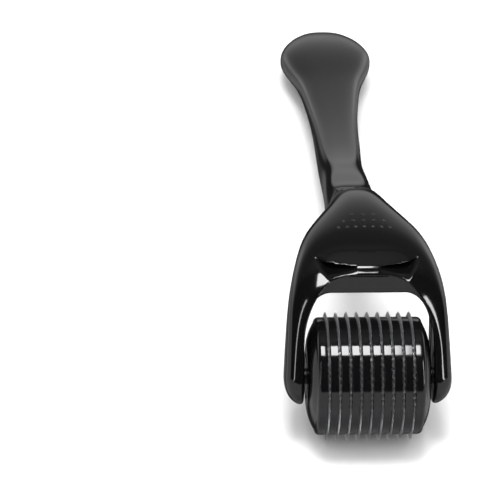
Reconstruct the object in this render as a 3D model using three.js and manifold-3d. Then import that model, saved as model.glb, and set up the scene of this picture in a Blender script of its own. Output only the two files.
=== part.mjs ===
// Derma roller: a free-turning drum of nine needle discs held in the fork of a two-shell handle.
// Millimetres, +Z up. X runs along the drum axle, Y from the drum back to the tail.
// The origin is the middle of the bounding box at floor level: the roller stands on its drum and its tail.
import * as THREE from "three";
import { mergeVertices } from "three/addons/utils/BufferGeometryUtils.js";
import Module from "manifold-3d";

// ---- Drum ----
const DISC_COUNT = 9;
const DISC_PITCH = 2;
const DISC_THICKNESS = 0.3;
const NEEDLES_PER_DISC = 60;
const NEEDLE_TIP_RADIUS = 12.3;
const BARREL_RADIUS = 11.2;
const NEEDLE_ROOT_RADIUS = 10.9;
const STACK_GAP = 0.1; // between each disc and its spacers
const SHOULDER_LENGTH = 2.2; // barrel beyond the middle of the outermost disc
const SHOULDER_ROUND = 0.8;
const CAP_FLAT_RADIUS = 5.3; // the flat ring in the middle of each bulging end
const CAP_BULGE = 1.5;
const CAP_STEPS = 4;
const SLEEVE_RADIUS = 4;
const SLEEVE_BORE_RADIUS = 1.62;
const FIT_GAP = 0.3; // radial room between nested pieces

// ---- Axle ----
const AXLE_RADIUS = 1.5;
const AXLE_LENGTH = 29.6;

// ---- Handle ----
const FORK_INNER_HALF = 12.2;
const AXLE_BORE_RADIUS = 1.65;
const AXLE_BORE_HALF_LENGTH = 15; // the bores are blind: the outer skin of each arm stays closed
const SHELL_GAP = 0.3;
const PARTING_SHARE = 0.24; // how much of each section's depth the lower shell takes
const ARM_END_RADIUS = 6.3;
const ARM_TAPER = 0.15; // how much narrower the handle is at the lower tip of the arms
const ARM_TAPER_POWER = 2.5;
const TAIL_ROUND_LENGTH = 14;
const TAIL_TIP_ROUND = 3.5;
const ARCH_TOP = 14.3; // underside of the arch above the axle
const ARCH_REAR = 16.8; // how far back the drum's opening reaches
const ARCH_FLAT_HALF = 7; // the flat top of the opening, between its round shoulders
const ARCH_SHOULDER_HEIGHT = 8;
const NOSE_TOP = 17.8; // the larger arch in front of the arch's face
const NOSE_FLAT_HALF = 4;
const NOSE_SHOULDER_HEIGHT = 9.7;
const NOSE_REACH = 7.1; // how far back the arch's face stands at the arch's underside
const NOSE_LEAN = 0.32; // how much further back it stands for each millimetre up
const POCKET_TOP = 18.7; // the two three-cornered recesses under the lip
const POCKET_LOW = 17.3;
const POCKET_TIP = 0.3; // how high the recess is at its narrow inner end
const POCKET_FROM = 2.4;
const POCKET_CORNER = 7.4;
const POCKET_TO = 9.6;
const POCKET_REAR = 12.6;
const DOT_RADIUS = 0.4; // the raised grip dots on top of the head
const DOT_HEIGHT = 0.24;
const DOT_SEGMENTS = 8;
const DOT_RINGS = 4;
const ROOM_REACH = 30; // how far the rooms are cut forward and down, past the end of the handle
const FLOOR_WIDTH = 100; // the block below the floor that the tail is cut flat with
const FLOOR_LENGTH = 400;
const FLOOR_DEPTH = 20;

// The handle's spine in the side view, from the axle up the fork arms, over the head and down to the tail.
// back, up: where the middle of the section is, from the axle; depth: its size square to the spine;
// half: half its width; square: 2 is an ellipse, larger is boxier.
const SPINE = [
  { back: 0, up: 0, depth: 12.6, half: 15.85, square: 6 },
  { back: 4.8, up: 7.5, depth: 11.2, half: 15.4, square: 5 },
  { back: 9.6, up: 13.2, depth: 9.8, half: 14.7, square: 3.2 },
  { back: 15.7, up: 15.6, depth: 9, half: 13.25, square: 2.6 },
  { back: 22.7, up: 15.5, depth: 9.3, half: 11.1, square: 2.5 },
  { back: 29.5, up: 14.2, depth: 10.4, half: 7.7, square: 2.4 },
  { back: 35.6, up: 11.8, depth: 11, half: 5.3, square: 2.6 },
  { back: 40.6, up: 8.3, depth: 10, half: 4.7, square: 3.2 },
  { back: 45.8, up: 5.3, depth: 9.5, half: 4.8, square: 3.9 },
  { back: 55.1, up: 1.6, depth: 10.7, half: 4.55, square: 4 },
  { back: 65, up: -1.6, depth: 10.7, half: 4.15, square: 4 },
  { back: 75.9, up: -3.4, depth: 9.4, half: 4.5, square: 3.8 },
  { back: 87.9, up: -4.1, depth: 7, half: 4.9, square: 3.3 },
  { back: 98.9, up: -4.8, depth: 6, half: 5.9, square: 2.9 },
  { back: 107.9, up: -5.6, depth: 6.4, half: 7.45, square: 2.7 },
  { back: 116.8, up: -6.5, depth: 7.4, half: 9.9, square: 2.6 },
  { back: 124.7, up: -8, depth: 7.4, half: 9.8, square: 2.6 },
  { back: 130.1, up: -10.4, depth: 7.1, half: 9.8, square: 2.6 },
];

// Rows of grip dots: distance along the spine, how many dots, and how far apart.
const DOT_ROWS = [
  { distance: 31.3, count: 3, step: 2.1 },
  { distance: 29.3, count: 5, step: 1.95 },
  { distance: 27.4, count: 7, step: 1.65 },
];

const ABS_BLACK = { color: 0x101011, roughness: 0.16, metalness: 0 };
const DRUM_BLACK = { color: 0x161617, roughness: 0.3, metalness: 0 };
const STEEL = { color: 0xc9ccd0, roughness: 0.28, metalness: 1 };

const wasm = await Module();
wasm.setup();

// A three.js geometry as a manifold solid, and back.
function solidOf(geometry) {
  const bare = geometry.clone();
  bare.deleteAttribute("normal");
  bare.deleteAttribute("uv");
  const merged = mergeVertices(bare, 1e-4);
  return new wasm.Manifold(
    new wasm.Mesh({
      numProp: 3,
      vertProperties: new Float32Array(merged.attributes.position.array),
      triVerts: new Uint32Array(merged.index.array),
    }),
  );
}

function geometryOf(solid) {
  const mesh = solid.getMesh();
  const geometry = new THREE.BufferGeometry();
  geometry.setAttribute("position", new THREE.BufferAttribute(new Float32Array(mesh.vertProperties), 3));
  geometry.setIndex(new THREE.BufferAttribute(new Uint32Array(mesh.triVerts), 1));
  geometry.computeVertexNormals();
  return geometry;
}

function piece(name, geometry, look) {
  const mesh = new THREE.Mesh(geometry, new THREE.MeshStandardMaterial(look));
  mesh.name = name;
  return mesh;
}

// ---- Drum pieces: all turn about X ----

// A solid of revolution about X from a profile of [radius, x] points.
function turned(profile, segments) {
  const points = profile.map(([radius, x]) => new THREE.Vector2(radius, x));
  return new THREE.LatheGeometry(points, segments).rotateZ(-Math.PI / 2);
}

// A ring whose profile closes on itself.
function ring(innerRadius, outerRadius, fromX, toX, segments) {
  const profile = [
    [innerRadius, fromX],
    [outerRadius, fromX],
    [outerRadius, toX],
    [innerRadius, toX],
    [innerRadius, fromX],
  ];
  return turned(profile, segments);
}

const discX = (index) => (index - (DISC_COUNT - 1) / 2) * DISC_PITCH;
const DISC_HOLE_RADIUS = SLEEVE_RADIUS + FIT_GAP;

// One stamped steel disc with its rim cut into pointed needles.
function needleDisc() {
  const outline = [];
  for (let i = 0; i < 2 * NEEDLES_PER_DISC; i += 1) {
    const radius = i % 2 === 0 ? NEEDLE_TIP_RADIUS : NEEDLE_ROOT_RADIUS;
    const angle = (i * Math.PI) / NEEDLES_PER_DISC;
    outline.push(new THREE.Vector2(radius * Math.cos(angle), radius * Math.sin(angle)));
  }
  const shape = new THREE.Shape(outline);
  const hole = new THREE.Path();
  hole.absarc(0, 0, DISC_HOLE_RADIUS, 0, 2 * Math.PI, true);
  shape.holes.push(hole);
  const geometry = new THREE.ExtrudeGeometry(shape, {
    depth: DISC_THICKNESS,
    bevelEnabled: false,
    curveSegments: 10,
  });
  return geometry.translate(0, 0, -DISC_THICKNESS / 2).rotateY(Math.PI / 2);
}

// A black spacer fills the barrel between two discs.
function spacerRing() {
  const half = (DISC_PITCH - DISC_THICKNESS) / 2 - STACK_GAP;
  return ring(DISC_HOLE_RADIUS, BARREL_RADIUS, -half, half, 36);
}

// The end cap closes the barrel. Its outer face bulges, so it meets the fork arm only near the axle.
function endCap(side) {
  const inner = discX(DISC_COUNT - 1) + DISC_THICKNESS / 2 + STACK_GAP;
  const face = discX(DISC_COUNT - 1) + SHOULDER_LENGTH;
  const rim = BARREL_RADIUS - SHOULDER_ROUND;
  const profile = [
    [DISC_HOLE_RADIUS, inner],
    [BARREL_RADIUS, inner],
    [BARREL_RADIUS, face - SHOULDER_ROUND],
  ];
  for (const turn of [0.5, 1]) {
    const angle = (turn * Math.PI) / 2;
    profile.push([rim + SHOULDER_ROUND * Math.cos(angle), face - SHOULDER_ROUND * (1 - Math.sin(angle))]);
  }
  for (let i = 1; i <= CAP_STEPS; i += 1) {
    const share = 1 - i / CAP_STEPS;
    profile.push([CAP_FLAT_RADIUS + (rim - CAP_FLAT_RADIUS) * share, face + CAP_BULGE * (1 - share ** 2)]);
  }
  profile.push([DISC_HOLE_RADIUS, face + CAP_BULGE]);
  profile.push([DISC_HOLE_RADIUS, inner]);
  const geometry = turned(profile, 36);
  return side > 0 ? geometry : geometry.rotateZ(Math.PI);
}

// The sleeve carries the whole stack and turns on the axle.
function coreSleeve() {
  const half = discX(DISC_COUNT - 1) + SHOULDER_LENGTH + CAP_BULGE;
  return ring(SLEEVE_BORE_RADIUS, SLEEVE_RADIUS, -half, half, 24);
}

function axlePin() {
  return new THREE.CylinderGeometry(AXLE_RADIUS, AXLE_RADIUS, AXLE_LENGTH, 20).rotateZ(Math.PI / 2);
}

// ---- Handle shells ----

// Station values between the listed ones, as smooth curves of one parameter from 0 to 1.
const spineCurve = new THREE.CatmullRomCurve3(
  SPINE.map(({ back, up }) => new THREE.Vector3(0, back, up)),
  false,
  "centripetal",
);
const sizeCurve = new THREE.CatmullRomCurve3(
  SPINE.map(({ depth, half, square }) => new THREE.Vector3(depth, half, square)),
  false,
  "catmullrom",
  0.5,
);

// How full the section is near the two ends, where the arm and the tail close in a round.
function roundOff(distance, length) {
  if (distance >= length) return 1;
  const left = 1 - Math.max(distance, 0) / length;
  return Math.sqrt(Math.max(1 - left * left, 0));
}

const SPINE_LENGTH = spineCurve.getLength();
const SPINE_STATIONS = 50;
const ARM_STATIONS = 4;
const TAIL_STATIONS = 7;
const RING_SEGMENTS = 24;
const PARTING_WIDTH = 60;
const PARTING_REACH = 9;
const ENDS = 0.04; // the end caps keep this share of the section, so they are small flats

// Distances along the spine where a section is taken, closer together at both round ends.
// Negative ones lie on a straight run below the axle.
function stationDistances() {
  const list = [];
  for (let i = 0; i < ARM_STATIONS; i += 1) {
    list.push(-ARM_END_RADIUS * Math.cos((i / ARM_STATIONS) * (Math.PI / 2)));
  }
  const body = SPINE_LENGTH - TAIL_ROUND_LENGTH;
  const bodyStations = SPINE_STATIONS - ARM_STATIONS - TAIL_STATIONS;
  for (let i = 0; i < bodyStations; i += 1) {
    list.push((body * i) / bodyStations);
  }
  for (let i = 0; i <= TAIL_STATIONS; i += 1) {
    list.push(body + TAIL_ROUND_LENGTH * Math.sin((i / TAIL_STATIONS) * (Math.PI / 2)));
  }
  return list;
}

// The section at one distance: its middle, the direction its depth points in, and its sizes.
function sectionAt(distance) {
  const onSpine = Math.min(Math.max(distance / SPINE_LENGTH, 0), 1);
  const parameter = spineCurve.getUtoTmapping(onSpine);
  const middle = spineCurve.getPoint(parameter);
  const along = spineCurve.getTangent(parameter);
  middle.addScaledVector(along, Math.min(distance, 0) + Math.max(distance - SPINE_LENGTH, 0));
  const size = sizeCurve.getPoint(parameter);
  const arm = roundOff(distance + ARM_END_RADIUS, ARM_END_RADIUS);
  const tail = roundOff(SPINE_LENGTH - distance, TAIL_ROUND_LENGTH);
  const tip = roundOff(SPINE_LENGTH - distance, TAIL_TIP_ROUND);
  const armShare = Math.max(-distance, 0) / ARM_END_RADIUS;
  return {
    middle,
    outward: new THREE.Vector3(0, -along.z, along.y),
    size: size.x,
    depth: size.x * Math.max(arm, ENDS) * Math.max(tip, ENDS),
    half: size.y * Math.max(tail, ENDS) * (1 - ARM_TAPER * armShare ** ARM_TAPER_POWER),
    power: 2 / size.z,
  };
}

// Moves a unit geometry's vertices onto the spine: its Y runs along the given distances, and
// place(section, x, z) says how far across and how far outward a vertex of that section goes.
function sweep(geometry, distances, place) {
  const position = geometry.attributes.position;
  const sections = distances.map(sectionAt);
  for (let i = 0; i < position.count; i += 1) {
    const row = Math.round((position.getY(i) + 0.5) * (distances.length - 1));
    const section = sections[row];
    const { middle, outward } = section;
    const [x, v] = place(section, position.getX(i), position.getZ(i));
    position.setXYZ(i, x, middle.y + outward.y * v, middle.z + outward.z * v);
  }
  return geometry;
}

// The whole handle, with rounded sections.
function handleBody() {
  const distances = stationDistances();
  const blank = new THREE.CylinderGeometry(1, 1, 1, RING_SEGMENTS, distances.length - 1);
  return sweep(blank, distances, ({ depth, half, power }, across, out) => [
    half * Math.sign(across) * Math.abs(across) ** power,
    (depth / 2) * Math.sign(out) * Math.abs(out) ** power,
  ]);
}

// The space outward of the parting line, shifted by a distance, which divides the handle in two shells.
function partingSpace(shift) {
  const distances = [-2 * ARM_END_RADIUS, ...stationDistances(), SPINE_LENGTH + ARM_END_RADIUS];
  const blank = new THREE.BoxGeometry(1, 1, 1, 1, distances.length - 1, 1);
  return sweep(blank, distances, ({ size }, across, out) => [
    across * PARTING_WIDTH,
    out < 0 ? size * (PARTING_SHARE - 0.5) + shift : PARTING_REACH,
  ]);
}

// An outline in the X-Z plane made solid along Y.
function upright(shape, fromY, toY) {
  const geometry = new THREE.ExtrudeGeometry(shape, {
    depth: toY - fromY,
    bevelEnabled: false,
    curveSegments: 8,
  });
  return geometry.rotateX(Math.PI / 2).translate(0, toY, 0);
}

// An arch outline: straight sides, a flat top and elliptical shoulders.
function archShape(half, flatHalf, top, shoulderHeight) {
  const spring = top - shoulderHeight;
  const shape = new THREE.Shape();
  shape.moveTo(-half, -ROOM_REACH);
  shape.lineTo(half, -ROOM_REACH);
  shape.lineTo(half, spring);
  shape.absellipse(flatHalf, spring, half - flatHalf, shoulderHeight, 0, Math.PI / 2, false);
  shape.lineTo(-flatHalf, top);
  shape.absellipse(-flatHalf, spring, half - flatHalf, shoulderHeight, Math.PI / 2, Math.PI, false);
  shape.lineTo(-half, -ROOM_REACH);
  return shape;
}

// One recess under the lip, on the given side.
function pocket(side) {
  const corners = [
    [POCKET_FROM, POCKET_TOP - POCKET_TIP],
    [POCKET_CORNER, POCKET_LOW],
    [POCKET_TO, POCKET_TOP],
    [POCKET_FROM, POCKET_TOP],
  ];
  const shape = new THREE.Shape(corners.map(([across, up]) => new THREE.Vector2(side * across, up)));
  return upright(shape, 0, POCKET_REAR);
}

// Room for the drum, for the recesses under the lip, for the axle ends, and the flat under the tail.
function handleCuts() {
  const drumShape = archShape(FORK_INNER_HALF, ARCH_FLAT_HALF, ARCH_TOP, ARCH_SHOULDER_HEIGHT);
  const noseShape = archShape(FORK_INNER_HALF, NOSE_FLAT_HALF, NOSE_TOP, NOSE_SHOULDER_HEIGHT);
  const lean = new THREE.Matrix4().makeShear(0, 0, 0, 0, 0, NOSE_LEAN);
  const nose = upright(noseShape, -ROOM_REACH, 0)
    .translate(0, NOSE_REACH, -ARCH_TOP)
    .applyMatrix4(lean)
    .translate(0, 0, ARCH_TOP);
  const bore = new THREE.CylinderGeometry(AXLE_BORE_RADIUS, AXLE_BORE_RADIUS, 2 * AXLE_BORE_HALF_LENGTH, 20);
  const floor = new THREE.BoxGeometry(FLOOR_WIDTH, FLOOR_LENGTH, FLOOR_DEPTH);
  const rooms = [
    upright(drumShape, -ROOM_REACH, ARCH_REAR),
    nose,
    pocket(-1),
    pocket(1),
    bore.rotateZ(Math.PI / 2),
    floor.translate(0, 0, -NEEDLE_TIP_RADIUS - FLOOR_DEPTH / 2),
  ];
  return rooms.map(solidOf).reduce((all, room) => all.add(room));
}

// One low dot, half sunk in the top of the head.
function gripDot(distance, across) {
  const { middle, outward, depth, half, power } = sectionAt(distance);
  const out = (depth / 2) * (1 - (Math.abs(across) / half) ** (2 / power)) ** (power / 2);
  const dot = new THREE.SphereGeometry(1, DOT_SEGMENTS, DOT_RINGS);
  dot.rotateX(Math.PI / 2).scale(DOT_RADIUS, DOT_RADIUS, DOT_HEIGHT);
  dot.rotateX(Math.atan2(-outward.y, outward.z));
  return dot.translate(across, middle.y + outward.y * out, middle.z + outward.z * out);
}

function gripDots() {
  return DOT_ROWS.flatMap(({ distance, count, step }) =>
    Array.from({ length: count }, (_, i) => solidOf(gripDot(distance, (i - (count - 1) / 2) * step))),
  );
}

const cuts = handleCuts();
const body = solidOf(handleBody()).subtract(cuts);
const plainUpper = body.intersect(solidOf(partingSpace(SHELL_GAP / 2)));
const upperShell = gripDots().reduce((shell, dot) => shell.add(dot), plainUpper);
const lowerShell = body.subtract(solidOf(partingSpace(-SHELL_GAP / 2)));
const tailEnd = Math.max(upperShell.boundingBox().max[1], lowerShell.boundingBox().max[1]);

const roller = new THREE.Group();
roller.position.set(0, (NEEDLE_TIP_RADIUS - tailEnd) / 2, NEEDLE_TIP_RADIUS);
roller.add(piece("upper_shell", geometryOf(upperShell), ABS_BLACK));
roller.add(piece("lower_shell", geometryOf(lowerShell), ABS_BLACK));
roller.add(piece("axle_pin", axlePin(), STEEL));

const drum = new THREE.Group();
drum.add(piece("core_sleeve", coreSleeve(), DRUM_BLACK));
drum.add(piece("left_end_cap", endCap(-1), DRUM_BLACK));
drum.add(piece("right_end_cap", endCap(1), DRUM_BLACK));
for (let i = 0; i < DISC_COUNT; i += 1) {
  const disc = piece("needle_disc_" + (i + 1), needleDisc(), STEEL);
  disc.position.x = discX(i);
  drum.add(disc);
}
for (let i = 0; i < DISC_COUNT - 1; i += 1) {
  const spacer = piece("spacer_ring_" + (i + 1), spacerRing(), DRUM_BLACK);
  spacer.position.x = discX(i) + DISC_PITCH / 2;
  drum.add(spacer);
}
roller.add(drum);

export default roller;
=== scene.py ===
import math

import bmesh
import bpy
import numpy as np
from mathutils import Matrix, Vector


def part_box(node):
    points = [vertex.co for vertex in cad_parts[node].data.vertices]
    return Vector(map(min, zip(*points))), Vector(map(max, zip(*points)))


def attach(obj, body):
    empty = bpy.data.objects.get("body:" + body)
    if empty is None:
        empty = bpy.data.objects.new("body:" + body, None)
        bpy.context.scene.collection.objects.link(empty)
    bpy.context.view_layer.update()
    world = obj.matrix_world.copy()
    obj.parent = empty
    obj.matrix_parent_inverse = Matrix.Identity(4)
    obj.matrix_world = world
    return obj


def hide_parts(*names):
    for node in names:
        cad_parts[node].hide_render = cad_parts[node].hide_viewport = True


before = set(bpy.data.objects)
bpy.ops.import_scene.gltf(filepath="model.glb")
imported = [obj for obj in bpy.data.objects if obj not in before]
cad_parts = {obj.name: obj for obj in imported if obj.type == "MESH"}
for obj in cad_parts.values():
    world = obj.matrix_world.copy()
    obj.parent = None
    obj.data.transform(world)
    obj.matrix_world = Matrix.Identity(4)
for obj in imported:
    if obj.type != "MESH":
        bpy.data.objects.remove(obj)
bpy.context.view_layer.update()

# Derma roller. Shapes are worked out in millimetres from the drum axle (x across, y back towards
# the tail, z up) and placed in the row frame, in metres, by to_row().
MM = 0.001

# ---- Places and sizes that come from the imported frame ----
pin_low, pin_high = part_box("axle_pin")
AXLE = np.array([0.0, (pin_low.y + pin_high.y) / 2, (pin_low.z + pin_high.z) / 2])
AXLE_RADIUS = (pin_high.z - pin_low.z) / 2 / MM
AXLE_HALF = (pin_high.x - pin_low.x) / 2 / MM


def nodes_named(start):
    """The CAD nodes whose names start like this, from left to right."""
    return sorted((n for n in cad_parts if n.startswith(start)), key=lambda n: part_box(n)[0].x)


DISCS = nodes_named("needle_disc_")
SPACERS = nodes_named("spacer_ring_")
NEEDLE_TIP = (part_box(DISCS[0])[1].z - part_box(DISCS[0])[0].z) / 2 / MM
BARREL = (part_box("right_end_cap")[1].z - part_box("right_end_cap")[0].z) / 2 / MM
CAP_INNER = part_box("right_end_cap")[0].x / MM
CAP_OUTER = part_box("right_end_cap")[1].x / MM
FLOOR = -AXLE[2] / MM

# ---- Drum pieces ----
STACK_BORE = 4.3
SPACER_EDGE = 0.12
CAP_BULGE = 1.5
CAP_FLAT = 5.3
CAP_SHOULDER = 0.8
CAP_SHOULDER_STEPS = 6
CAP_FACE_STEPS = 14
SLEEVE_BORE = 1.62
SLEEVE_RADIUS = 4.0
PIN_CENTRE = 0.02  # the pin's section starts a hair off the axis
PIN_EDGE = 0.3

# ---- Needles: radii at the bore, at the roots and at the neck, and how much each one varies ----
NEEDLES_PER_DISC = 60
DISC_BORE = 4.35
NEEDLE_ROOT = 10.35
NEEDLE_NECK = 11.9
NEEDLE_HALF_WIDTH = (0.2, 0.23)
NECK_SHARE = 0.5
NECK_THICKNESS = 0.6
BORE_SHARE = 2
LEAN_SPREAD = 0.004
SIDEWAYS_SPREAD = 0.02
FIRST_SEED = 100

# ---- Handle: the same driving sizes as the CAD part ----
FORK_INNER_HALF = 12.2
ARM_END_RADIUS = 6.3
TAIL_ROUND_LENGTH = 14.0
TAIL_TIP_ROUND = 3.5
PARTING_SHARE = 0.24
PARTING_GAP = 0.12
ARCH_TOP = 14.3
ARCH_REAR = 16.8
ARCH_FLAT_HALF = 7.0
ARCH_SHOULDER_HEIGHT = 8.0
NOSE_TOP = 17.8
NOSE_FLAT_HALF = 4.0
NOSE_SHOULDER_HEIGHT = 9.7
NOSE_REACH = 7.1
NOSE_LEAN = 0.32
POCKET_TOP = 18.7
POCKET_LOW = 17.3
POCKET_TIP = 0.3
POCKET_FROM = 2.4
POCKET_CORNER = 7.4
POCKET_TO = 9.6
POCKET_REAR = 12.6
# the small wedge that sharpens the front edge of the head: its edge, slopes, length and how it fades
LIP_Y = 9.46
LIP_Z = 18.9
LIP_TOP_SLOPE = 0.221
LIP_FRONT_SLOPE = 0.84
LIP_RUN = 4.6
LIP_HALF = 9.4
LIP_RISE = 0.4
LIP_FADE = 0.7
LIP_SWEEP = 0.012
LIP_FALL = 0.004
ARM_TAPER = 0.15
ARM_TAPER_POWER = 2.5
BORE_RADIUS = 1.65
BORE_HALF = 15.0
LEAST_SHARE_SQUARED = 0.0009  # keeps a little of the section at the very tip
TAIL_TRIM = 0.28

# ---- Handle: how far each edge is rounded ----
TAIL_ROUNDING = 0.5
LIP_EDGE_ROUNDING = 0.2
LIP_ROOT_ROUNDING = 0.25
DRUM_ROOM_REAR_ROUNDING = 0.8
DRUM_ROOM_ROUNDING = 1.6
NOSE_FACE_ROUNDING = 0.5
POCKET_CORNER_ROUNDING = 0.5
POCKET_JOIN_ROUNDING = 0.3
NOSE_ROUNDING = 0.4
BORE_ROUNDING = 0.2
FLOOR_ROUNDING = 0.25
PARTING_ROUNDING = 0.3

# ---- Grid that the shells are meshed on: fine at the head and the tail, coarser between ----
HEAD_CELL, HANDLE_CELL = ((0.24, 0.5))
HEAD_END = 38
HEAD_FADE = 20
TAIL_START = 150
TAIL_FADE = 10
TAIL_SHARE = 0.7
GRID_HALF_WIDTH = 16.6
GRID_STRETCH = 1.02
GRID_MARGIN = 0.6
GRID_DEPTH = 12.6
GRID_REACH = 1.1
RELAX_ROUNDS = 3

# ---- Grip dots: distance along the spine, number of dots, and millimetres between them ----
DOT_ROWS = ((31.3, 3, 2.1), (29.3, 5, 1.95), (27.4, 7, 1.65))
DOT_RADIUS = 0.4
DOT_HEIGHT = 0.22
DOT_SINK = 0.6  # share of its height that a dot goes down into the shell
DOT_RINGS = 4
DOT_SIDES = 14
TANGENT_STEP = 0.1

# ---- Camera, from the axle ----
CAMERA_PLACE = (-52.3, -439.68, 363.47)
CAMERA_FORWARD = (0.0527, 0.79583, -0.60319)
CAMERA_UP = (0.0064, 0.60373, 0.79711)
LENS = 216.0
SENSOR = 36.0

# back and up place the middle of each section from the axle; depth is its size square to the
# spine, half is half its width, and square is 2 for an ellipse and more for a boxier section.
SPINE = np.array([
    # back, up, depth, half, square
    (0, 0, 12.6, 15.85, 6),
    (4.8, 7.5, 11.2, 15.4, 5),
    (9.6, 13.2, 9.8, 14.7, 3.2),
    (15.7, 15.6, 9, 13.25, 2.6),
    (22.7, 15.5, 9.3, 11.1, 2.5),
    (29.5, 14.2, 10.4, 7.7, 2.4),
    (35.6, 11.8, 11, 5.3, 2.6),
    (40.6, 8.3, 10, 4.7, 3.2),
    (45.8, 5.3, 9.5, 4.8, 3.9),
    (55.1, 1.6, 10.7, 4.55, 4),
    (65, -1.6, 10.7, 4.15, 4),
    (75.9, -3.4, 9.4, 4.5, 3.8),
    (87.9, -4.1, 7, 4.9, 3.3),
    (98.9, -4.8, 6, 5.9, 2.9),
    (107.9, -5.6, 6.4, 7.45, 2.7),
    (116.8, -6.5, 7.4, 9.9, 2.6),
    (124.7, -8, 7.4, 9.8, 2.6),
    (130.1, -10.4, 7.1, 9.8, 2.6),
], float)


def to_row(points):
    """Millimetres from the axle to metres in the row frame."""
    return np.asarray(points, float) * MM + AXLE


# ---------------------------------------------------------------- smooth curves

def natural_spline(knots, values):
    """A smooth curve through values at knots, with free ends. Returns f(t, order) for order 0 to 2."""
    knots = np.asarray(knots, float)
    values = np.asarray(values, float)
    count = len(knots)
    step = np.diff(knots)
    matrix = np.eye(count)
    right = np.zeros_like(values)
    for i in range(1, count - 1):
        matrix[i, i - 1:i + 2] = step[i - 1], 2 * (step[i - 1] + step[i]), step[i]
        ahead = (values[i + 1] - values[i]) / step[i]
        behind = (values[i] - values[i - 1]) / step[i - 1]
        right[i] = 6 * (ahead - behind)
    bend = np.linalg.solve(matrix, right)

    def curve(t, order=0):
        t = np.asarray(t, float)
        i = np.clip(np.searchsorted(knots, t) - 1, 0, count - 2)
        h = step[i][..., None]
        a = (knots[i + 1] - t)[..., None] / h
        b = (t - knots[i])[..., None] / h
        if order == 2:
            return a * bend[i] + b * bend[i + 1]
        if order == 1:
            slope = (values[i + 1] - values[i]) / h
            return slope + h / 6 * ((1 - 3 * a * a) * bend[i] + (3 * b * b - 1) * bend[i + 1])
        bow = ((a ** 3 - a) * bend[i] + (b ** 3 - b) * bend[i + 1]) * h * h / 6
        return a * values[i] + b * values[i + 1] + bow

    return curve


chords = np.hypot(*np.diff(SPINE[:, :2], axis=0).T)
knots = np.concatenate([[0], np.cumsum(chords)])
by_chord = natural_spline(knots, SPINE[:, :2])
dense = np.linspace(0, knots[-1], 4001)
dense_points = by_chord(dense)
dense_length = np.concatenate([[0], np.cumsum(np.hypot(*np.diff(dense_points, axis=0).T))])
LENGTH = dense_length[-1]
station_length = np.interp(knots, dense, dense_length)
size_curve = natural_spline(station_length, SPINE[:, 2:])


def spine(s):
    """Middle, direction and bend of the spine at distance s, straight beyond both ends."""
    inside = np.clip(s, 0, LENGTH)
    t = np.interp(inside, dense_length, dense)
    middle = by_chord(t)
    first = by_chord(t, 1)
    second = by_chord(t, 2)
    speed = np.hypot(first[..., 0], first[..., 1])
    along = first / speed[..., None]
    bend = (first[..., 0] * second[..., 1] - first[..., 1] * second[..., 0]) / speed ** 3
    beyond = s - inside
    bend = np.where(beyond != 0, 0, bend)
    return middle + along * beyond[..., None], along, bend


def sizes(s):
    """Depth, half width and squareness at distance s."""
    values = size_curve(np.clip(s, 0, LENGTH))
    return values[..., 0], values[..., 1], values[..., 2]


def place(x, s, v):
    """Points x across, s along the spine and v outward of it, in millimetres from the axle."""
    middle, along, _ = spine(s)
    return np.stack([x, middle[..., 0] - along[..., 1] * v, middle[..., 1] + along[..., 0] * v], -1)


# ---------------------------------------------------------------- the handle as a distance field

def smooth_max(a, b, radius):
    """The larger of two distances, with the corner between them rounded."""
    mix = np.clip(radius - np.abs(a - b), 0, None) / radius
    return np.maximum(a, b) + mix ** 2 * radius / 4


def smooth_min(a, b, radius):
    """The smaller of two distances, with the corner between them rounded."""
    return -smooth_max(-a, -b, radius)


def body_distance(x, s, v):
    """Roughly how far a point is outside the uncut handle."""
    size, half, square = sizes(s)
    arm = np.clip(1 - (s + ARM_END_RADIUS) / ARM_END_RADIUS, 0, None)
    half = half * (1 - ARM_TAPER * np.clip(arm, 0, 1) ** ARM_TAPER_POWER)
    left = LENGTH - s
    tail = np.clip(1 - left / TAIL_ROUND_LENGTH, 0, 1)
    tip = np.clip(1 - left / TAIL_TIP_ROUND, 0, 1)
    tail_share = np.sqrt(np.clip(1 - tail ** 2, LEAST_SHARE_SQUARED, None))
    tip_share = np.sqrt(np.clip(1 - tip ** 2, LEAST_SHARE_SQUARED, None))
    across = np.abs(x) / (half * tail_share)
    out = np.sqrt((v / (size / 2 * tip_share)) ** 2 + arm ** 2)
    total = across ** square + out ** square
    reach = total ** (1 / square)
    # slope of reach, so that its distance from 1 comes out in millimetres
    scale = np.clip(total, 1e-9, None) ** (1 / square - 1)
    slope_x = scale * across ** (square - 1) / (half * tail_share)
    radial = scale * out ** (square - 1)
    out_safe = np.clip(out, 1e-6, None)
    slope_v = radial * np.abs(v) / (out_safe * (size / 2 * tip_share) ** 2)
    slope_arm = radial * arm / (out_safe * ARM_END_RADIUS)
    slope_tail = scale * across ** square * tail / (tail_share ** 2 * TAIL_ROUND_LENGTH)
    slope_tip = radial * out * tip / (tip_share ** 2 * TAIL_TIP_ROUND)
    slope = np.sqrt(slope_x ** 2 + slope_v ** 2 + (slope_tail + slope_tip - slope_arm) ** 2)
    distance = (reach - 1) / np.clip(slope, 1e-3, None)
    return smooth_max(distance, TAIL_TRIM - left, TAIL_ROUNDING)


def arch_distance(x, z, flat_half, top, shoulder_height):
    """Distance outside an upright arch outline with a flat top and elliptical shoulders."""
    width = FORK_INNER_HALF - flat_half
    across = np.abs(x) - flat_half
    up = z - (top - shoulder_height)
    share_x = np.clip(across, 0, None) / width
    share_z = np.clip(up, 0, None) / shoulder_height
    reach = np.clip(np.hypot(share_x, share_z), 1e-6, None)
    slope = np.hypot(share_x / width, share_z / shoulder_height) / reach
    corner = (reach - 1) / np.clip(slope, 1e-6, None)
    straight = np.where(up <= 0, across - width, up - shoulder_height)
    return np.where((up > 0) & (across > 0), corner, straight)


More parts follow.
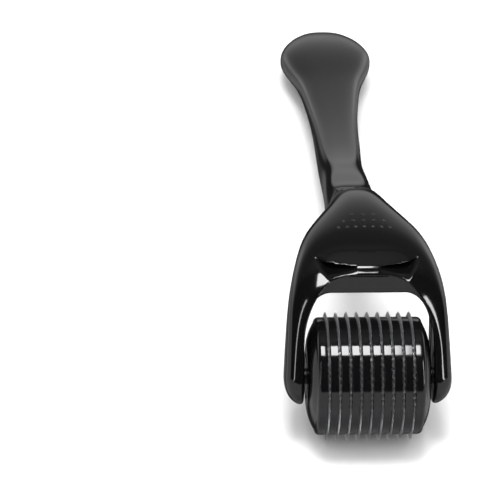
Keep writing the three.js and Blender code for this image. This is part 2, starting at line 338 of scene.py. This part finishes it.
def pocket_distance(x, z):
    """Distance outside the two three-cornered recess outlines."""
    across = np.abs(x)

    def beyond(x0, z0, x1, z1):
        length = math.hypot(x1 - x0, z1 - z0)
        return ((z1 - z0) * (across - x0) - (x1 - x0) * (z - z0)) / length

    low = beyond(POCKET_FROM, POCKET_TOP - POCKET_TIP, POCKET_CORNER, POCKET_LOW)
    outer = beyond(POCKET_CORNER, POCKET_LOW, POCKET_TO, POCKET_TOP)
    outline = smooth_max(low, outer, POCKET_CORNER_ROUNDING)
    return np.maximum(np.maximum(outline, POCKET_FROM - across), z - POCKET_TOP)


def lip_distance(x, y, z, body):
    """Distance outside the small wedge on the body that gives the head its crisp front edge."""
    back = y - LIP_Y - LIP_SWEEP * x ** 2
    up = z - LIP_Z + LIP_FALL * x ** 2
    top = (up - LIP_TOP_SLOPE * back) / math.hypot(1, LIP_TOP_SLOPE)
    front = (up - LIP_FRONT_SLOPE * back) / math.hypot(1, LIP_FRONT_SLOPE)
    rise = LIP_RISE - LIP_FADE * ((x / LIP_HALF) ** 4 + (back / LIP_RUN) ** 2)
    wedge = smooth_max(top, front, LIP_EDGE_ROUNDING)
    return np.maximum(wedge, np.maximum(body - rise, np.abs(back) - LIP_RUN))


def handle_distance(x, s, v):
    """How far a point is outside the handle with all its openings."""
    point = place(x, s, v)
    y, z = point[..., 1], point[..., 2]
    body = body_distance(x, s, v)
    body = smooth_min(body, lip_distance(x, y, z, body), LIP_ROOT_ROUNDING)
    drum_room = arch_distance(x, z, ARCH_FLAT_HALF, ARCH_TOP, ARCH_SHOULDER_HEIGHT)
    drum_room = smooth_max(drum_room, y - ARCH_REAR, DRUM_ROOM_REAR_ROUNDING)
    nose_room = arch_distance(x, z, NOSE_FLAT_HALF, NOSE_TOP, NOSE_SHOULDER_HEIGHT)
    face = y - NOSE_REACH - NOSE_LEAN * (z - ARCH_TOP)
    nose_room = smooth_max(nose_room, face / math.hypot(1, NOSE_LEAN), NOSE_FACE_ROUNDING)
    pocket = np.maximum(pocket_distance(x, z), y - POCKET_REAR)
    front_rooms = smooth_min(nose_room, pocket, POCKET_JOIN_ROUNDING)
    body = smooth_max(body, -drum_room, DRUM_ROOM_ROUNDING)
    body = smooth_max(body, -front_rooms, NOSE_ROUNDING)
    bore = np.maximum(np.hypot(y, z) - BORE_RADIUS, np.abs(x) - BORE_HALF)
    body = smooth_max(body, -bore, BORE_ROUNDING)
    return smooth_max(body, FLOOR - z, FLOOR_ROUNDING)


def shell_distance(side):
    """The field of one shell: side is 1 for the upper one and -1 for the lower one."""
    def field(x, s, v):
        size, _, _ = sizes(s)
        parting = v - size * (PARTING_SHARE - 0.5)
        return smooth_max(handle_distance(x, s, v), PARTING_GAP / 2 - side * parting, PARTING_ROUNDING)
    return field


# ---------------------------------------------------------------- meshing a field

def spread(values, wanted):
    """Points from the first value to the last whose spacing follows wanted(value)."""
    fine = np.linspace(values[0], values[1], 4001)
    density = np.concatenate([[0], np.cumsum(1 / wanted((fine[1:] + fine[:-1]) / 2) * np.diff(fine))])
    count = int(math.ceil(density[-1])) + 1
    return np.interp(np.linspace(0, density[-1], count), density, fine)


def surface_net(field, xs, ss, ws):
    """A closed quad mesh of field = 0 on a grid of x, s and w = v / (depth / 2)."""
    grid_x, grid_s, grid_w = np.meshgrid(xs, ss, ws, indexing="ij")
    depth, _, _ = sizes(ss)
    grid_v = grid_w * (depth / 2)[None, :, None]
    values = field(grid_x, grid_s, grid_v)
    inside = values < 0
    shape = np.array(values.shape)
    cells = shape - 1
    corner_offsets = [(i, j, k) for i in (0, 1) for j in (0, 1) for k in (0, 1)]

    def corner(array, offset):
        return array[tuple(slice(o, o + c) for o, c in zip(offset, cells))]

    count = sum(corner(inside, o).astype(np.int8) for o in corner_offsets)
    active = (count > 0) & (count < 8)
    index = -np.ones(cells, int)
    index[active] = np.arange(active.sum())
    at = np.argwhere(active)
    total = np.zeros((len(at), 3))
    hits = np.zeros(len(at))
    for axis in range(3):
        for offset in corner_offsets:
            if offset[axis]:
                continue
            other = tuple(o + (n == axis) for n, o in enumerate(offset))
            first = values[tuple((at + offset).T)]
            second = values[tuple((at + other).T)]
            crossing = (first < 0) != (second < 0)
            share = np.where(crossing, first / np.where(crossing, first - second, 1), 0)
            position = at + np.array(offset, float)
            position[:, axis] += share
            total += position * crossing[:, None]
            hits += crossing
    position = total / hits[:, None]
    points = np.stack([
        np.interp(position[:, 0], np.arange(len(xs)), xs),
        np.interp(position[:, 1], np.arange(len(ss)), ss),
        np.interp(position[:, 2], np.arange(len(ws)), ws),
    ], -1)
    quads = []
    for axis in range(3):
        one, two = (axis + 1) % 3, (axis + 2) % 3
        low = [slice(1, n - 1) for n in shape]
        low[axis] = slice(0, shape[axis] - 1)
        high = list(low)
        high[axis] = slice(1, shape[axis])
        starts_inside = inside[tuple(low)]
        ends_inside = inside[tuple(high)]
        edge = np.argwhere(starts_inside != ends_inside)
        flips = ends_inside[tuple(edge.T)]
        base = edge + np.array([0 if n == axis else 1 for n in range(3)])
        ring = []
        for d_one, d_two in ((-1, -1), (0, -1), (0, 0), (-1, 0)):
            cell = base.copy()
            cell[:, one] += d_one
            cell[:, two] += d_two
            ring.append(index[tuple(cell.T)])
        faces = np.stack(ring, -1)
        faces[flips] = faces[flips][:, ::-1]
        quads.append(faces)
    half_depth = sizes(points[:, 1])[0] / 2
    points[:, 2] *= half_depth
    return points, np.concatenate(quads)


def field_gradient(field, points, step=0.02):
    """Slope of a field at points of (x, s, v), per millimetre of each."""
    slopes = []
    for axis in range(3):
        shift = np.zeros(3)
        shift[axis] = step
        ahead = field(*(points + shift).T)
        behind = field(*(points - shift).T)
        slopes.append((ahead - behind) / (2 * step))
    slopes = np.stack(slopes, -1)
    _, _, bend = spine(points[:, 1])
    slopes[:, 1] /= np.clip(1 - bend * points[:, 2], 0.2, None)
    return slopes


def settle(field, points, rounds=3, limit=0.15):
    """Moves points of (x, s, v) onto the surface, no further than limit in a round."""
    for _ in range(rounds):
        slope = field_gradient(field, points)
        value = field(*points.T)
        square = np.clip((slope ** 2).sum(-1), 0.05, None)
        move = -slope * (value / square)[:, None]
        length = np.linalg.norm(move, axis=-1, keepdims=True)
        points = points + move * np.minimum(1, limit / np.clip(length, 1e-9, None))
    return points


def relax(points, quads, share=0.5):
    """Moves each point towards the middle of its neighbours."""
    total = np.zeros_like(points)
    count = np.zeros(len(points))
    for i in range(4):
        here, there = quads[:, i], quads[:, (i + 1) % 4]
        for a, b in ((here, there), (there, here)):
            for axis in range(3):
                total[:, axis] += np.bincount(a, points[b, axis], len(points))
            count += np.bincount(a, minlength=len(points))
    return points + share * (total / count[:, None] - points)


def cell_length(s):
    """How long the grid cells are at distance s."""
    past_head = np.clip((s - HEAD_END) / HEAD_FADE, 0, 1)
    at_tail = np.clip((s - TAIL_START) / TAIL_FADE, 0, 1)
    return HEAD_CELL + (HANDLE_CELL - HEAD_CELL) * past_head * (1 - at_tail * TAIL_SHARE)


def shell_mesh(name, side):
    """One handle shell: side is 1 for the upper one and -1 for the lower one."""
    field = shell_distance(side)
    half_count = int(round(GRID_HALF_WIDTH / HEAD_CELL))
    xs = (np.arange(2 * half_count) + 0.5 - half_count) * HEAD_CELL * GRID_STRETCH
    ss = spread((-ARM_END_RADIUS - GRID_MARGIN, LENGTH + GRID_MARGIN), cell_length)
    ws = np.linspace(-GRID_REACH, GRID_REACH, int(round(GRID_DEPTH / HEAD_CELL)))
    points, quads = surface_net(field, xs, ss, ws)
    points = settle(field, points)
    for _ in range(RELAX_ROUNDS):
        points = settle(field, relax(points, quads), rounds=1)
    points = settle(field, points, rounds=2)
    slope = field_gradient(field, points)
    _, along, _ = spine(points[:, 1])
    normals = np.stack([
        slope[:, 0],
        slope[:, 1] * along[:, 0] - slope[:, 2] * along[:, 1],
        slope[:, 1] * along[:, 1] + slope[:, 2] * along[:, 0],
    ], -1)
    normals /= np.linalg.norm(normals, axis=-1, keepdims=True)
    return mesh_object(name, to_row(place(*points.T)), quads, normals)


def mesh_object(name, points, faces, normals=None):
    """A new smooth-shaded object, with its own shading normals if they are given."""
    mesh = bpy.data.meshes.new(name)
    mesh.from_pydata(np.asarray(points).tolist(), [], [list(face) for face in faces])
    mesh.validate()
    mesh.shade_smooth()
    if normals is not None:
        mesh.normals_split_custom_set_from_vertices(normals.tolist())
    piece = bpy.data.objects.new(name, mesh)
    bpy.context.scene.collection.objects.link(piece)
    return piece


# ---------------------------------------------------------------- turned drum pieces

def rounded(profile, segments=5):
    """Adds arcs at corners. profile lists (radius, x, corner radius) round a closed section."""
    outline = []
    count = len(profile)
    for i, (radius, x, corner) in enumerate(profile):
        here = np.array([radius, x], float)
        if corner == 0:
            outline.append(here)
            continue
        before = np.array(profile[i - 1][:2], float) - here
        after = np.array(profile[(i + 1) % count][:2], float) - here
        before /= np.linalg.norm(before)
        after /= np.linalg.norm(after)
        opening = math.acos(float(np.clip(before @ after, -1, 1)))
        reach = corner / math.tan(opening / 2)
        start, end = here + before * reach, here + after * reach
        inward = (before + after) / np.linalg.norm(before + after)
        middle = here + inward * corner / math.sin(opening / 2)
        first, last = start - middle, end - middle
        turn = math.acos(float(np.clip(first @ last / corner ** 2, -1, 1)))
        for k in range(segments + 1):
            share = k / segments
            arm = (math.sin((1 - share) * turn) * first + math.sin(share * turn) * last) / math.sin(turn)
            outline.append(middle + arm)
    return np.array(outline)


def turned(name, profile, segments=160, x_shift=0.0, mirror=False):
    """A ring about the axle from a closed section of (radius, x, corner radius)."""
    outline = rounded(profile)
    angles = np.arange(segments) * 2 * math.pi / segments
    count = len(outline)
    radius, x = outline[:, 0], outline[:, 1] * (-1 if mirror else 1) + x_shift
    points = np.stack([
        np.broadcast_to(x, (segments, count)),
        np.cos(angles)[:, None] * radius,
        np.sin(angles)[:, None] * radius,
    ], -1).reshape(-1, 3)
    i, j = np.meshgrid(np.arange(segments), np.arange(count), indexing="ij")
    i_next, j_next = (i + 1) % segments, (j + 1) % count
    row, next_row = i * count, i_next * count
    faces = np.stack([row + j, next_row + j, next_row + j_next, row + j_next], -1)
    piece = mesh_object(name, to_row(points), faces.reshape(-1, 4))
    face_out(piece)
    bevel_normals(piece)
    return piece


def face_out(piece):
    """Turns every face of a closed mesh outward."""
    work = bmesh.new()
    work.from_mesh(piece.data)
    bmesh.ops.recalc_face_normals(work, faces=work.faces)
    work.to_mesh(piece.data)
    work.free()


def bevel_normals(piece):
    """Shading that keeps flats flat beside their rounded edges."""
    modifier = piece.modifiers.new("flats", "WEIGHTED_NORMAL")
    modifier.keep_sharp = True
    modifier.weight = 80


def ring_profile(inner, outer, low, high, corner, inner_corner=0.0):
    """A rectangular section with rounded corners."""
    return [
        (inner, low, inner_corner),
        (outer, low, corner),
        (outer, high, corner),
        (inner, high, inner_corner),
    ]


def spacer_ring(number, node):
    """One black ring of the barrel, between two needle discs."""
    low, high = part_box(node)
    half = (high.x - low.x) / 2 / MM
    profile = ring_profile(STACK_BORE, BARREL, -half, half, SPACER_EDGE)
    piece = turned(f"SpacerRing{number}", profile, x_shift=(low.x + high.x) / 2 / MM)
    return finish_piece(piece, "drum", "drum_plastic", DRUM_PLASTIC, node)


def end_cap(name, node, mirror):
    """A barrel end with a rounded shoulder and a face that bulges to a flat ring round the axle."""
    face = CAP_OUTER - CAP_BULGE
    rim = BARREL - CAP_SHOULDER
    profile = [
        (STACK_BORE, CAP_INNER, 0.1),
        (BARREL, CAP_INNER, SPACER_EDGE),
        (BARREL, face - CAP_SHOULDER, 0),
    ]
    for step in range(1, CAP_SHOULDER_STEPS + 1):
        angle = step / CAP_SHOULDER_STEPS * math.pi / 2
        radius = BARREL - CAP_SHOULDER * (1 - math.cos(angle))
        profile.append((radius, face - CAP_SHOULDER * (1 - math.sin(angle)), 0))
    for step in range(1, CAP_FACE_STEPS + 1):
        share = 1 - step / CAP_FACE_STEPS
        radius = CAP_FLAT + (rim - CAP_FLAT) * share
        profile.append((radius, face + CAP_BULGE * (1 - share ** 2), 0))
    profile.append((STACK_BORE, CAP_OUTER, 0.2))
    piece = turned(name, profile, mirror=mirror)
    return finish_piece(piece, "drum", "drum_plastic", DRUM_PLASTIC, node)


def needle_disc(number, node):
    """A thin steel ring with slim tapered needles round its rim, every one a little different."""
    low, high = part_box(node)
    centre = (low.x + high.x) / 2 / MM
    half = (high.x - low.x) / 2 / MM
    random = np.random.default_rng(FIRST_SEED + number)
    corners = [(side, x) for side in (-1, 1) for x in (-half, half)]
    points, faces = [], []

    def add(radius, angle, x):
        points.append((centre + x, radius * math.cos(angle), radius * math.sin(angle)))
        return len(points) - 1

    rows = []
    for i in range(NEEDLES_PER_DISC):
        angle = 2 * math.pi * i / NEEDLES_PER_DISC
        lean = random.normal(0, LEAN_SPREAD)
        sideways = random.normal(0, SIDEWAYS_SPREAD)
        wide = random.uniform(*NEEDLE_HALF_WIDTH) / NEEDLE_ROOT
        middle, shift = angle + lean / 2, sideways / 2
        rows.append({
            "in": [add(DISC_BORE, angle + side * wide * BORE_SHARE, x) for side, x in corners],
            "root": [add(NEEDLE_ROOT, angle + side * wide, x) for side, x in corners],
            "neck": [add(NEEDLE_NECK, middle + side * wide * NECK_SHARE, shift + x * NECK_THICKNESS)
                     for side, x in corners],
            "tip": add(NEEDLE_TIP, angle + lean, sideways),
        })
    for i, row in enumerate(rows):
        after = rows[(i + 1) % NEEDLES_PER_DISC]
        a, r, n, tip = row["in"], row["root"], row["neck"], row["tip"]
        faces += [
            (a[1], r[1], r[3], a[3]),
            (a[2], r[2], r[0], a[0]),
            (a[3], r[3], after["root"][1], after["in"][1]),
            (after["in"][0], after["root"][0], r[2], a[2]),
            (r[2], after["root"][0], after["root"][1], r[3]),
            (a[0], a[1], a[3], a[2]),
            (a[2], a[3], after["in"][1], after["in"][0]),
            (r[1], n[1], n[3], r[3]),
            (r[2], n[2], n[0], r[0]),
            (r[0], n[0], n[1], r[1]),
            (r[3], n[3], n[2], r[2]),
            (n[1], tip, n[3]),
            (n[3], tip, n[2]),
            (n[2], tip, n[0]),
            (n[0], tip, n[1]),
        ]
    piece = mesh_object(f"NeedleDisc{number}", to_row(points), faces)
    face_out(piece)
    piece.data.shade_flat()
    return finish_piece(piece, "drum", "needle_steel", NEEDLE_STEEL, node)


def core_sleeve():
    """The tube inside the drum that carries the stack."""
    low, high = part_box("core_sleeve")
    profile = ring_profile(SLEEVE_BORE, SLEEVE_RADIUS, low.x / MM, high.x / MM, 0.25, 0.1)
    piece = turned("CoreSleeve", profile, 96)
    return finish_piece(piece, "drum", "drum_plastic", DRUM_PLASTIC, "core_sleeve")


def axle_pin():
    """The steel pin between the arms, with rounded ends."""
    profile = ring_profile(PIN_CENTRE, AXLE_RADIUS, -AXLE_HALF, AXLE_HALF, PIN_EDGE)
    return finish_piece(turned("AxlePin", profile, 64), "handle", "axle_steel", AXLE_STEEL, "axle_pin")


# ---------------------------------------------------------------- raised dots on the head

def head_surface(x, s):
    """A point on top of the head, with the directions along the spine, across and out."""
    size, half, square = (float(n) for n in sizes(np.array(s)))

    def at(across, distance, height):
        return place(np.array(across), np.array(distance), np.array(height))

    def height(across):
        return size / 2 * (1 - (abs(across) / half) ** square) ** (1 / square)

    centre = at(x, s, height(x))
    ahead = at(x, s + TANGENT_STEP, height(x)) - centre
    beside = at(x + TANGENT_STEP, s, height(x + TANGENT_STEP)) - centre
    ahead, beside = ahead / np.linalg.norm(ahead), beside / np.linalg.norm(beside)
    normal = np.cross(beside, ahead)
    return centre, ahead, beside, normal / np.linalg.norm(normal)


def head_dots():
    """Three rows of small raised grip dots, 3, 5 and 7 to a row, following the head's surface."""
    points, faces = [], []
    for s, count, step in DOT_ROWS:
        for k in range(count):
            centre, ahead, beside, normal = head_surface((k - (count - 1) / 2) * step, s)
            first = len(points)
            points.append(centre + normal * DOT_HEIGHT)
            for ring in range(1, DOT_RINGS + 1):
                tilt = ring / DOT_RINGS * math.pi / 2
                rise = DOT_HEIGHT * (1 + DOT_SINK) * math.cos(tilt) - DOT_HEIGHT * DOT_SINK
                for side in range(DOT_SIDES):
                    turn = 2 * math.pi * side / DOT_SIDES
                    spoke = math.cos(turn) * beside + math.sin(turn) * ahead
                    points.append(centre + DOT_RADIUS * math.sin(tilt) * spoke + normal * rise)
            base = first + 1 + (DOT_RINGS - 1) * DOT_SIDES
            for side in range(DOT_SIDES):
                after = (side + 1) % DOT_SIDES
                faces.append([first, first + 1 + side, first + 1 + after])
                for ring in range(DOT_RINGS - 1):
                    start = first + 1 + ring * DOT_SIDES
                    below = start + DOT_SIDES
                    faces.append([start + side, below + side, below + after, start + after])
            faces.append([base + side for side in reversed(range(DOT_SIDES))])
    piece = mesh_object("HeadDots", to_row(points), faces)
    face_out(piece)
    return finish_piece(piece, "handle", "handle_plastic", HANDLE_PLASTIC)


# ---------------------------------------------------------------- materials

class Nodes:
    """Short calls for building a node tree."""

    def __init__(self, tree):
        self.tree = tree
        tree.nodes.clear()

    def add(self, kind, **settings):
        """A new node with the given properties."""
        node = self.tree.nodes.new(kind)
        for name, value in settings.items():
            setattr(node, name, value)
        return node

    def link(self, out, into):
        self.tree.links.new(out, into)

    def math(self, operation, *values, clamp=False):
        """A Math node fed with sockets or numbers."""
        node = self.add("ShaderNodeMath", operation=operation, use_clamp=clamp)
        for socket, value in zip(node.inputs, values):
            self.feed(socket, value)
        return node.outputs[0]

    def feed(self, socket, value):
        """Links a socket or sets a number."""
        if isinstance(value, bpy.types.NodeSocket):
            self.link(value, socket)
        else:
            socket.default_value = value

    def ramp(self, value, stops):
        """A colour for each value, blended between stops of (position, grey or colour)."""
        node = self.add("ShaderNodeValToRGB")
        elements = node.color_ramp.elements
        while len(elements) < len(stops):
            elements.new(0.5)
        for element, (position, colour) in zip(elements, stops):
            element.position = position
            shade = colour if isinstance(colour, tuple) else (colour,) * 3
            element.color = (*shade, 1)
        self.feed(node.inputs["Fac"], value)
        return node.outputs["Color"]

    def remap(self, value, from_low, from_high, to_low, to_high, kind="LINEAR"):
        """Moves a value from one range to another, kept inside it."""
        node = self.add("ShaderNodeMapRange", interpolation_type=kind)
        for name, number in (("From Min", from_low), ("From Max", from_high),
                             ("To Min", to_low), ("To Max", to_high)):
            node.inputs[name].default_value = number
        self.feed(node.inputs["Value"], value)
        return node.outputs["Result"]

    def separate(self, vector):
        """The X, Y and Z of a vector."""
        node = self.add("ShaderNodeSeparateXYZ")
        self.link(vector, node.inputs[0])
        return node.outputs

    def blend(self, factor, first, second):
        """One colour fading into another."""
        node = self.add("ShaderNodeMix", data_type="RGBA")
        self.feed(node.inputs["Factor"], factor)
        self.feed(node.inputs["A"], first)
        self.feed(node.inputs["B"], second)
        return node.outputs["Result"]

    def bump(self, height, strength, distance):
        """Shading normals from a height."""
        node = self.add("ShaderNodeBump")
        node.inputs["Strength"].default_value = strength
        node.inputs["Distance"].default_value = distance
        self.link(height, node.inputs["Height"])
        return node.outputs["Normal"]

    def noise(self, place, scale, detail=4.0, roughness=0.5, stretch=None):
        """Fractal noise, finer or coarser along each axis if stretched."""
        if stretch is not None:
            mapping = self.add("ShaderNodeMapping")
            mapping.inputs["Scale"].default_value = stretch
            self.link(place, mapping.inputs["Vector"])
            place = mapping.outputs["Vector"]
        node = self.add("ShaderNodeTexNoise")
        node.inputs["Scale"].default_value = scale
        node.inputs["Detail"].default_value = detail
        node.inputs["Roughness"].default_value = roughness
        self.link(place, node.inputs["Vector"])
        return node.outputs["Fac"]


def new_material(name):
    """A material with a plain shader, its nodes, and the place on the object in metres."""
    material = bpy.data.materials.new(name)
    material.use_nodes = True
    nodes = Nodes(material.node_tree)
    shader = nodes.add("ShaderNodeBsdfPrincipled")
    output = nodes.add("ShaderNodeOutputMaterial")
    nodes.link(shader.outputs[0], output.inputs[0])
    place = nodes.add("ShaderNodeTexCoord").outputs["Object"]
    return material, nodes, shader, place


def black_plastic(name, base, rough_low, rough_high, sheen_from=None):
    """Glossy moulded ABS: faint smudges in the gloss, a soft moulding ripple and fine hairlines.

    It is worn along its edges. From the given distance back it is duller and painted lighter, a painted
    sheen for the brighter tone the light gives the tail."""
    material, nodes, shader, place = new_material(name)
    smudge = nodes.noise(place, 55, 5, 0.6)
    broad = nodes.noise(place, 14, 2)
    hair = nodes.noise(place, 260, 3, 0.7, stretch=(6.0, 0.35, 6.0))
    edge = nodes.add("ShaderNodeNewGeometry").outputs["Pointiness"]
    wear = nodes.remap(edge, 0.53, 0.6, 0, 1)
    wear = nodes.math("MULTIPLY", wear, nodes.remap(smudge, 0.42, 0.62, 0, 1), clamp=True)
    tint = nodes.ramp(broad, [(0.3, base), (0.75, tuple(c * 1.35 for c in base))])
    gloss = nodes.remap(smudge, 0.35, 0.72, rough_low, rough_high)
    rough = nodes.math("ADD", gloss, nodes.remap(hair, 0.55, 0.75, 0, 0.03))
    rough = nodes.math("ADD", rough, nodes.math("MULTIPLY", wear, WORN_ROUGH), clamp=True)
    if sheen_from is not None:
        # painted sheen: from this distance back the colour is lightened towards a grey that stands in
        # for the tail's brighter tone in the light, and the gloss is duller
        back = nodes.separate(place)["Y"]
        sheen_share = nodes.remap(back, sheen_from, sheen_from + PAINTED_SHEEN_FADE, 0, 1, "SMOOTHSTEP")
        patchy_sheen = nodes.math("MULTIPLY", sheen_share, nodes.remap(smudge, 0.2, 0.8, 0.85, 1.15))
        tint = nodes.blend(patchy_sheen, tint, (*PAINTED_SHEEN_SHADE, 1))
        rough = nodes.math("ADD", rough, nodes.math("MULTIPLY", sheen_share, PAINTED_SHEEN_ROUGH))
    colour = nodes.blend(nodes.math("MULTIPLY", wear, 0.5), tint, (*WORN_SHADE, 1))
    nodes.link(colour, shader.inputs["Base Color"])
    nodes.link(rough, shader.inputs["Roughness"])
    ripple = nodes.math("MULTIPLY", broad, 0.6)
    relief = nodes.math("ADD", ripple, nodes.math("MULTIPLY", hair, 0.02))
    nodes.link(nodes.bump(relief, 0.05, 0.0006), shader.inputs["Normal"])
    shader.inputs["IOR"].default_value = 1.5
    return material


def steel(name, base, dark, rough_low, rough_high, stretch, metal):
    """Stainless steel with a drawn grain and a faint warm-to-cool mottle."""
    material, nodes, shader, place = new_material(name)
    grain = nodes.noise(place, 700, 4, 0.6, stretch=stretch)
    mottle = nodes.noise(place, 120, 3)
    tint = nodes.ramp(mottle, [(0.3, dark), (0.7, base)])
    nodes.link(tint, shader.inputs["Base Color"])
    nodes.link(nodes.remap(grain, 0.3, 0.7, rough_low, rough_high), shader.inputs["Roughness"])
    nodes.link(nodes.bump(grain, 0.15, 0.00002), shader.inputs["Normal"])
    shader.inputs["Metallic"].default_value = metal
    return material


# From here back, in metres in the row frame, the tail is painted lighter, a painted sheen for the
# brighter tone the light gives it, and its gloss is slightly hazy.
PAINTED_SHEEN_FROM = 0.005
PAINTED_SHEEN_FADE = 0.05
PAINTED_SHEEN_SHADE = (0.013, 0.013, 0.013)
PAINTED_SHEEN_ROUGH = 0.14
WORN_SHADE = (0.012, 0.012, 0.012)
WORN_ROUGH = 0.12

HANDLE_PLASTIC = black_plastic("handle_plastic", (0.0022, 0.0022, 0.0023), 0.05, 0.13, PAINTED_SHEEN_FROM)
DRUM_PLASTIC = black_plastic("drum_plastic", (0.0024, 0.0024, 0.0025), 0.05, 0.12)
NEEDLE_STEEL = steel("needle_steel", base=(0.56, 0.57, 0.58), dark=(0.38, 0.38, 0.39),
                     rough_low=0.26, rough_high=0.44, stretch=(1.0, 4.0, 4.0), metal=0.88)
# The axle pin's steel is painted nearly black: painted shade for the narrow gaps beside the drum ends
# where the pin shows, so that it gives no glints there.
AXLE_STEEL = steel("axle_steel", base=(0.07, 0.07, 0.075), dark=(0.04, 0.04, 0.045),
                   rough_low=0.4, rough_high=0.55, stretch=(0.4, 5.0, 5.0), metal=1.0)


def finish_piece(piece, body, slot, material, *nodes):
    """Gives a piece its material and the body it rides on, and hides the CAD nodes it replaces. The slot
    is not used.
    """
    piece.data.materials.clear()
    piece.data.materials.append(material)
    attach(piece, body)
    if nodes:
        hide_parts(*nodes)
    return piece


# ---------------------------------------------------------------- floor, light and camera

def stage_floor():
    """A round pale table top."""
    material, nodes, shader, place = new_material("stage_floor")
    mottle = nodes.noise(place, 9, 3)
    nodes.link(nodes.ramp(mottle, [(0.3, 0.8), (0.7, 0.82)]), shader.inputs["Base Color"])
    shader.inputs["Roughness"].default_value = 0.6
    shader.inputs["Specular IOR Level"].default_value = 0.2
    radius, sides = 2.5, 96
    turns = [2 * math.pi * i / sides for i in range(sides)]
    points = [(radius * math.cos(turn), radius * math.sin(turn), 0) for turn in turns]
    floor = mesh_object("stage_floor", points, [list(range(sides))])
    floor.location.z = -0.0002
    floor.data.materials.append(material)
    floor.visible_glossy = False


def world_light():
    """A pale backdrop behind the object, dark in front and overhead."""
    world = bpy.data.worlds.new("studio")
    bpy.context.scene.world = world
    world.use_nodes = True
    nodes = Nodes(world.node_tree)
    direction = nodes.separate(nodes.add("ShaderNodeTexCoord").outputs["Generated"])
    height = nodes.remap(direction["Z"], -1, 1, 0, 1)
    behind = nodes.ramp(height, [
        (0.0, 0.02), (0.44, 0.03), (0.48, 0.6), (0.5, 0.75), (0.587, 0.8), (0.638, 0.66),
        (0.687, 0.5), (0.719, 0.38), (0.75, 0.23), (0.8, 0.12), (0.88, 0.1), (0.94, 0.25),
        (0.965, 0.45), (1.0, 0.3),
    ])
    # light along the handle's flanks, from below the horizon, and along its rims, from just above it
    across = nodes.math("ABSOLUTE", direction["X"])
    beside = nodes.remap(across, 0.3, 0.55, 0, 0.5, "SMOOTHSTEP")
    straight = nodes.remap(across, 0.08, 0.2, 0.1, 0, "SMOOTHSTEP")
    below = nodes.remap(direction["Z"], -0.12, -0.04, 1, 0, "SMOOTHSTEP")
    flanks = nodes.math("MULTIPLY", nodes.math("ADD", beside, straight), below)
    above = nodes.remap(direction["Z"], -0.03, 0.03, 0, 1, "SMOOTHSTEP")
    low = nodes.math("MULTIPLY", above, nodes.remap(direction["Z"], 0.22, 0.42, 0.6, 0, "SMOOTHSTEP"))
    rims = nodes.math("MULTIPLY", low, nodes.remap(across, 0.4, 0.6, 0, 1, "SMOOTHSTEP"))
    extra = nodes.add("ShaderNodeMix", data_type="RGBA", blend_type="ADD")
    extra.inputs["Factor"].default_value = 1.0
    nodes.link(behind, extra.inputs["A"])
    nodes.link(nodes.math("ADD", flanks, rims), extra.inputs["B"])
    front = nodes.ramp(height, [(0.0, 0.35), (0.2, 0.85), (0.555, 0.9), (0.57, 0.012), (1.0, 0.012)])
    side = nodes.remap(direction["Y"], 0.1, 0.5, 0, 1, "SMOOTHSTEP")
    background = nodes.add("ShaderNodeBackground")
    nodes.link(nodes.blend(side, front, extra.outputs["Result"]), background.inputs["Color"])
    output = nodes.add("ShaderNodeOutputWorld")
    nodes.link(background.outputs[0], output.inputs[0])


def softbox(name, centre, target, width, height, radiance):
    """A rectangular area light of the given brightness, aimed at a point."""
    light = bpy.data.lights.new(name, "AREA")
    light.shape = "RECTANGLE"
    light.size, light.size_y = width, height
    light.energy = radiance * width * height * math.pi
    lamp = bpy.data.objects.new(name, light)
    bpy.context.scene.collection.objects.link(lamp)
    lamp.location = centre
    lamp.rotation_euler = (Vector(target) - Vector(centre)).to_track_quat("-Z", "Y").to_euler()
    return lamp


def studio_lights():
    """A softbox overhead, a narrow strip at each side for the edge highlights, and a wide fill."""
    softbox("overhead", (-0.0395, -0.066, 0.6), (-0.0395, -0.066, 0), 0.221, 0.2, 20)
    fill = softbox("fill", (0, -0.35, 1.25), (0, 0, 0), 2.6, 2.6, 2.3)
    fill.visible_glossy = False
    for side, width, radiance in ((1, 0.06, 16), (-1, 0.03, 10)):
        strip = softbox("strip", (0.351 * side, -0.345, 0.32), (0, -0.045, 0.02), width, 0.47, radiance)
        strip.visible_diffuse = False


def camera():
    """A view from the front left and above."""
    data = bpy.data.cameras.new("camera")
    data.lens = LENS
    data.sensor_width = SENSOR
    data.clip_end = 20.0
    eye = bpy.data.objects.new("camera", data)
    bpy.context.scene.collection.objects.link(eye)
    forward = Vector(CAMERA_FORWARD).normalized()
    up = Vector(CAMERA_UP)
    right = forward.cross(up).normalized()
    up = right.cross(forward)
    turn = Matrix((right, up, -forward)).transposed().to_4x4()
    eye.matrix_world = Matrix.Translation(Vector(to_row(CAMERA_PLACE))) @ turn
    bpy.context.scene.camera = eye


# ---------------------------------------------------------------- build

finish_piece(shell_mesh("UpperShell", 1), "handle", "handle_plastic", HANDLE_PLASTIC, "upper_shell")
finish_piece(shell_mesh("LowerShell", -1), "handle", "handle_plastic", HANDLE_PLASTIC, "lower_shell")
head_dots()
axle_pin()
core_sleeve()
end_cap("LeftEndCap", "left_end_cap", True)
end_cap("RightEndCap", "right_end_cap", False)
for number, node in enumerate(SPACERS, 1):
    spacer_ring(number, node)
for number, node in enumerate(DISCS, 1):
    needle_disc(number, node)

stage_floor()
world_light()
studio_lights()
camera()
bpy.context.scene.view_settings.view_transform = "Standard"
bpy.context.scene.cycles.use_denoising = True
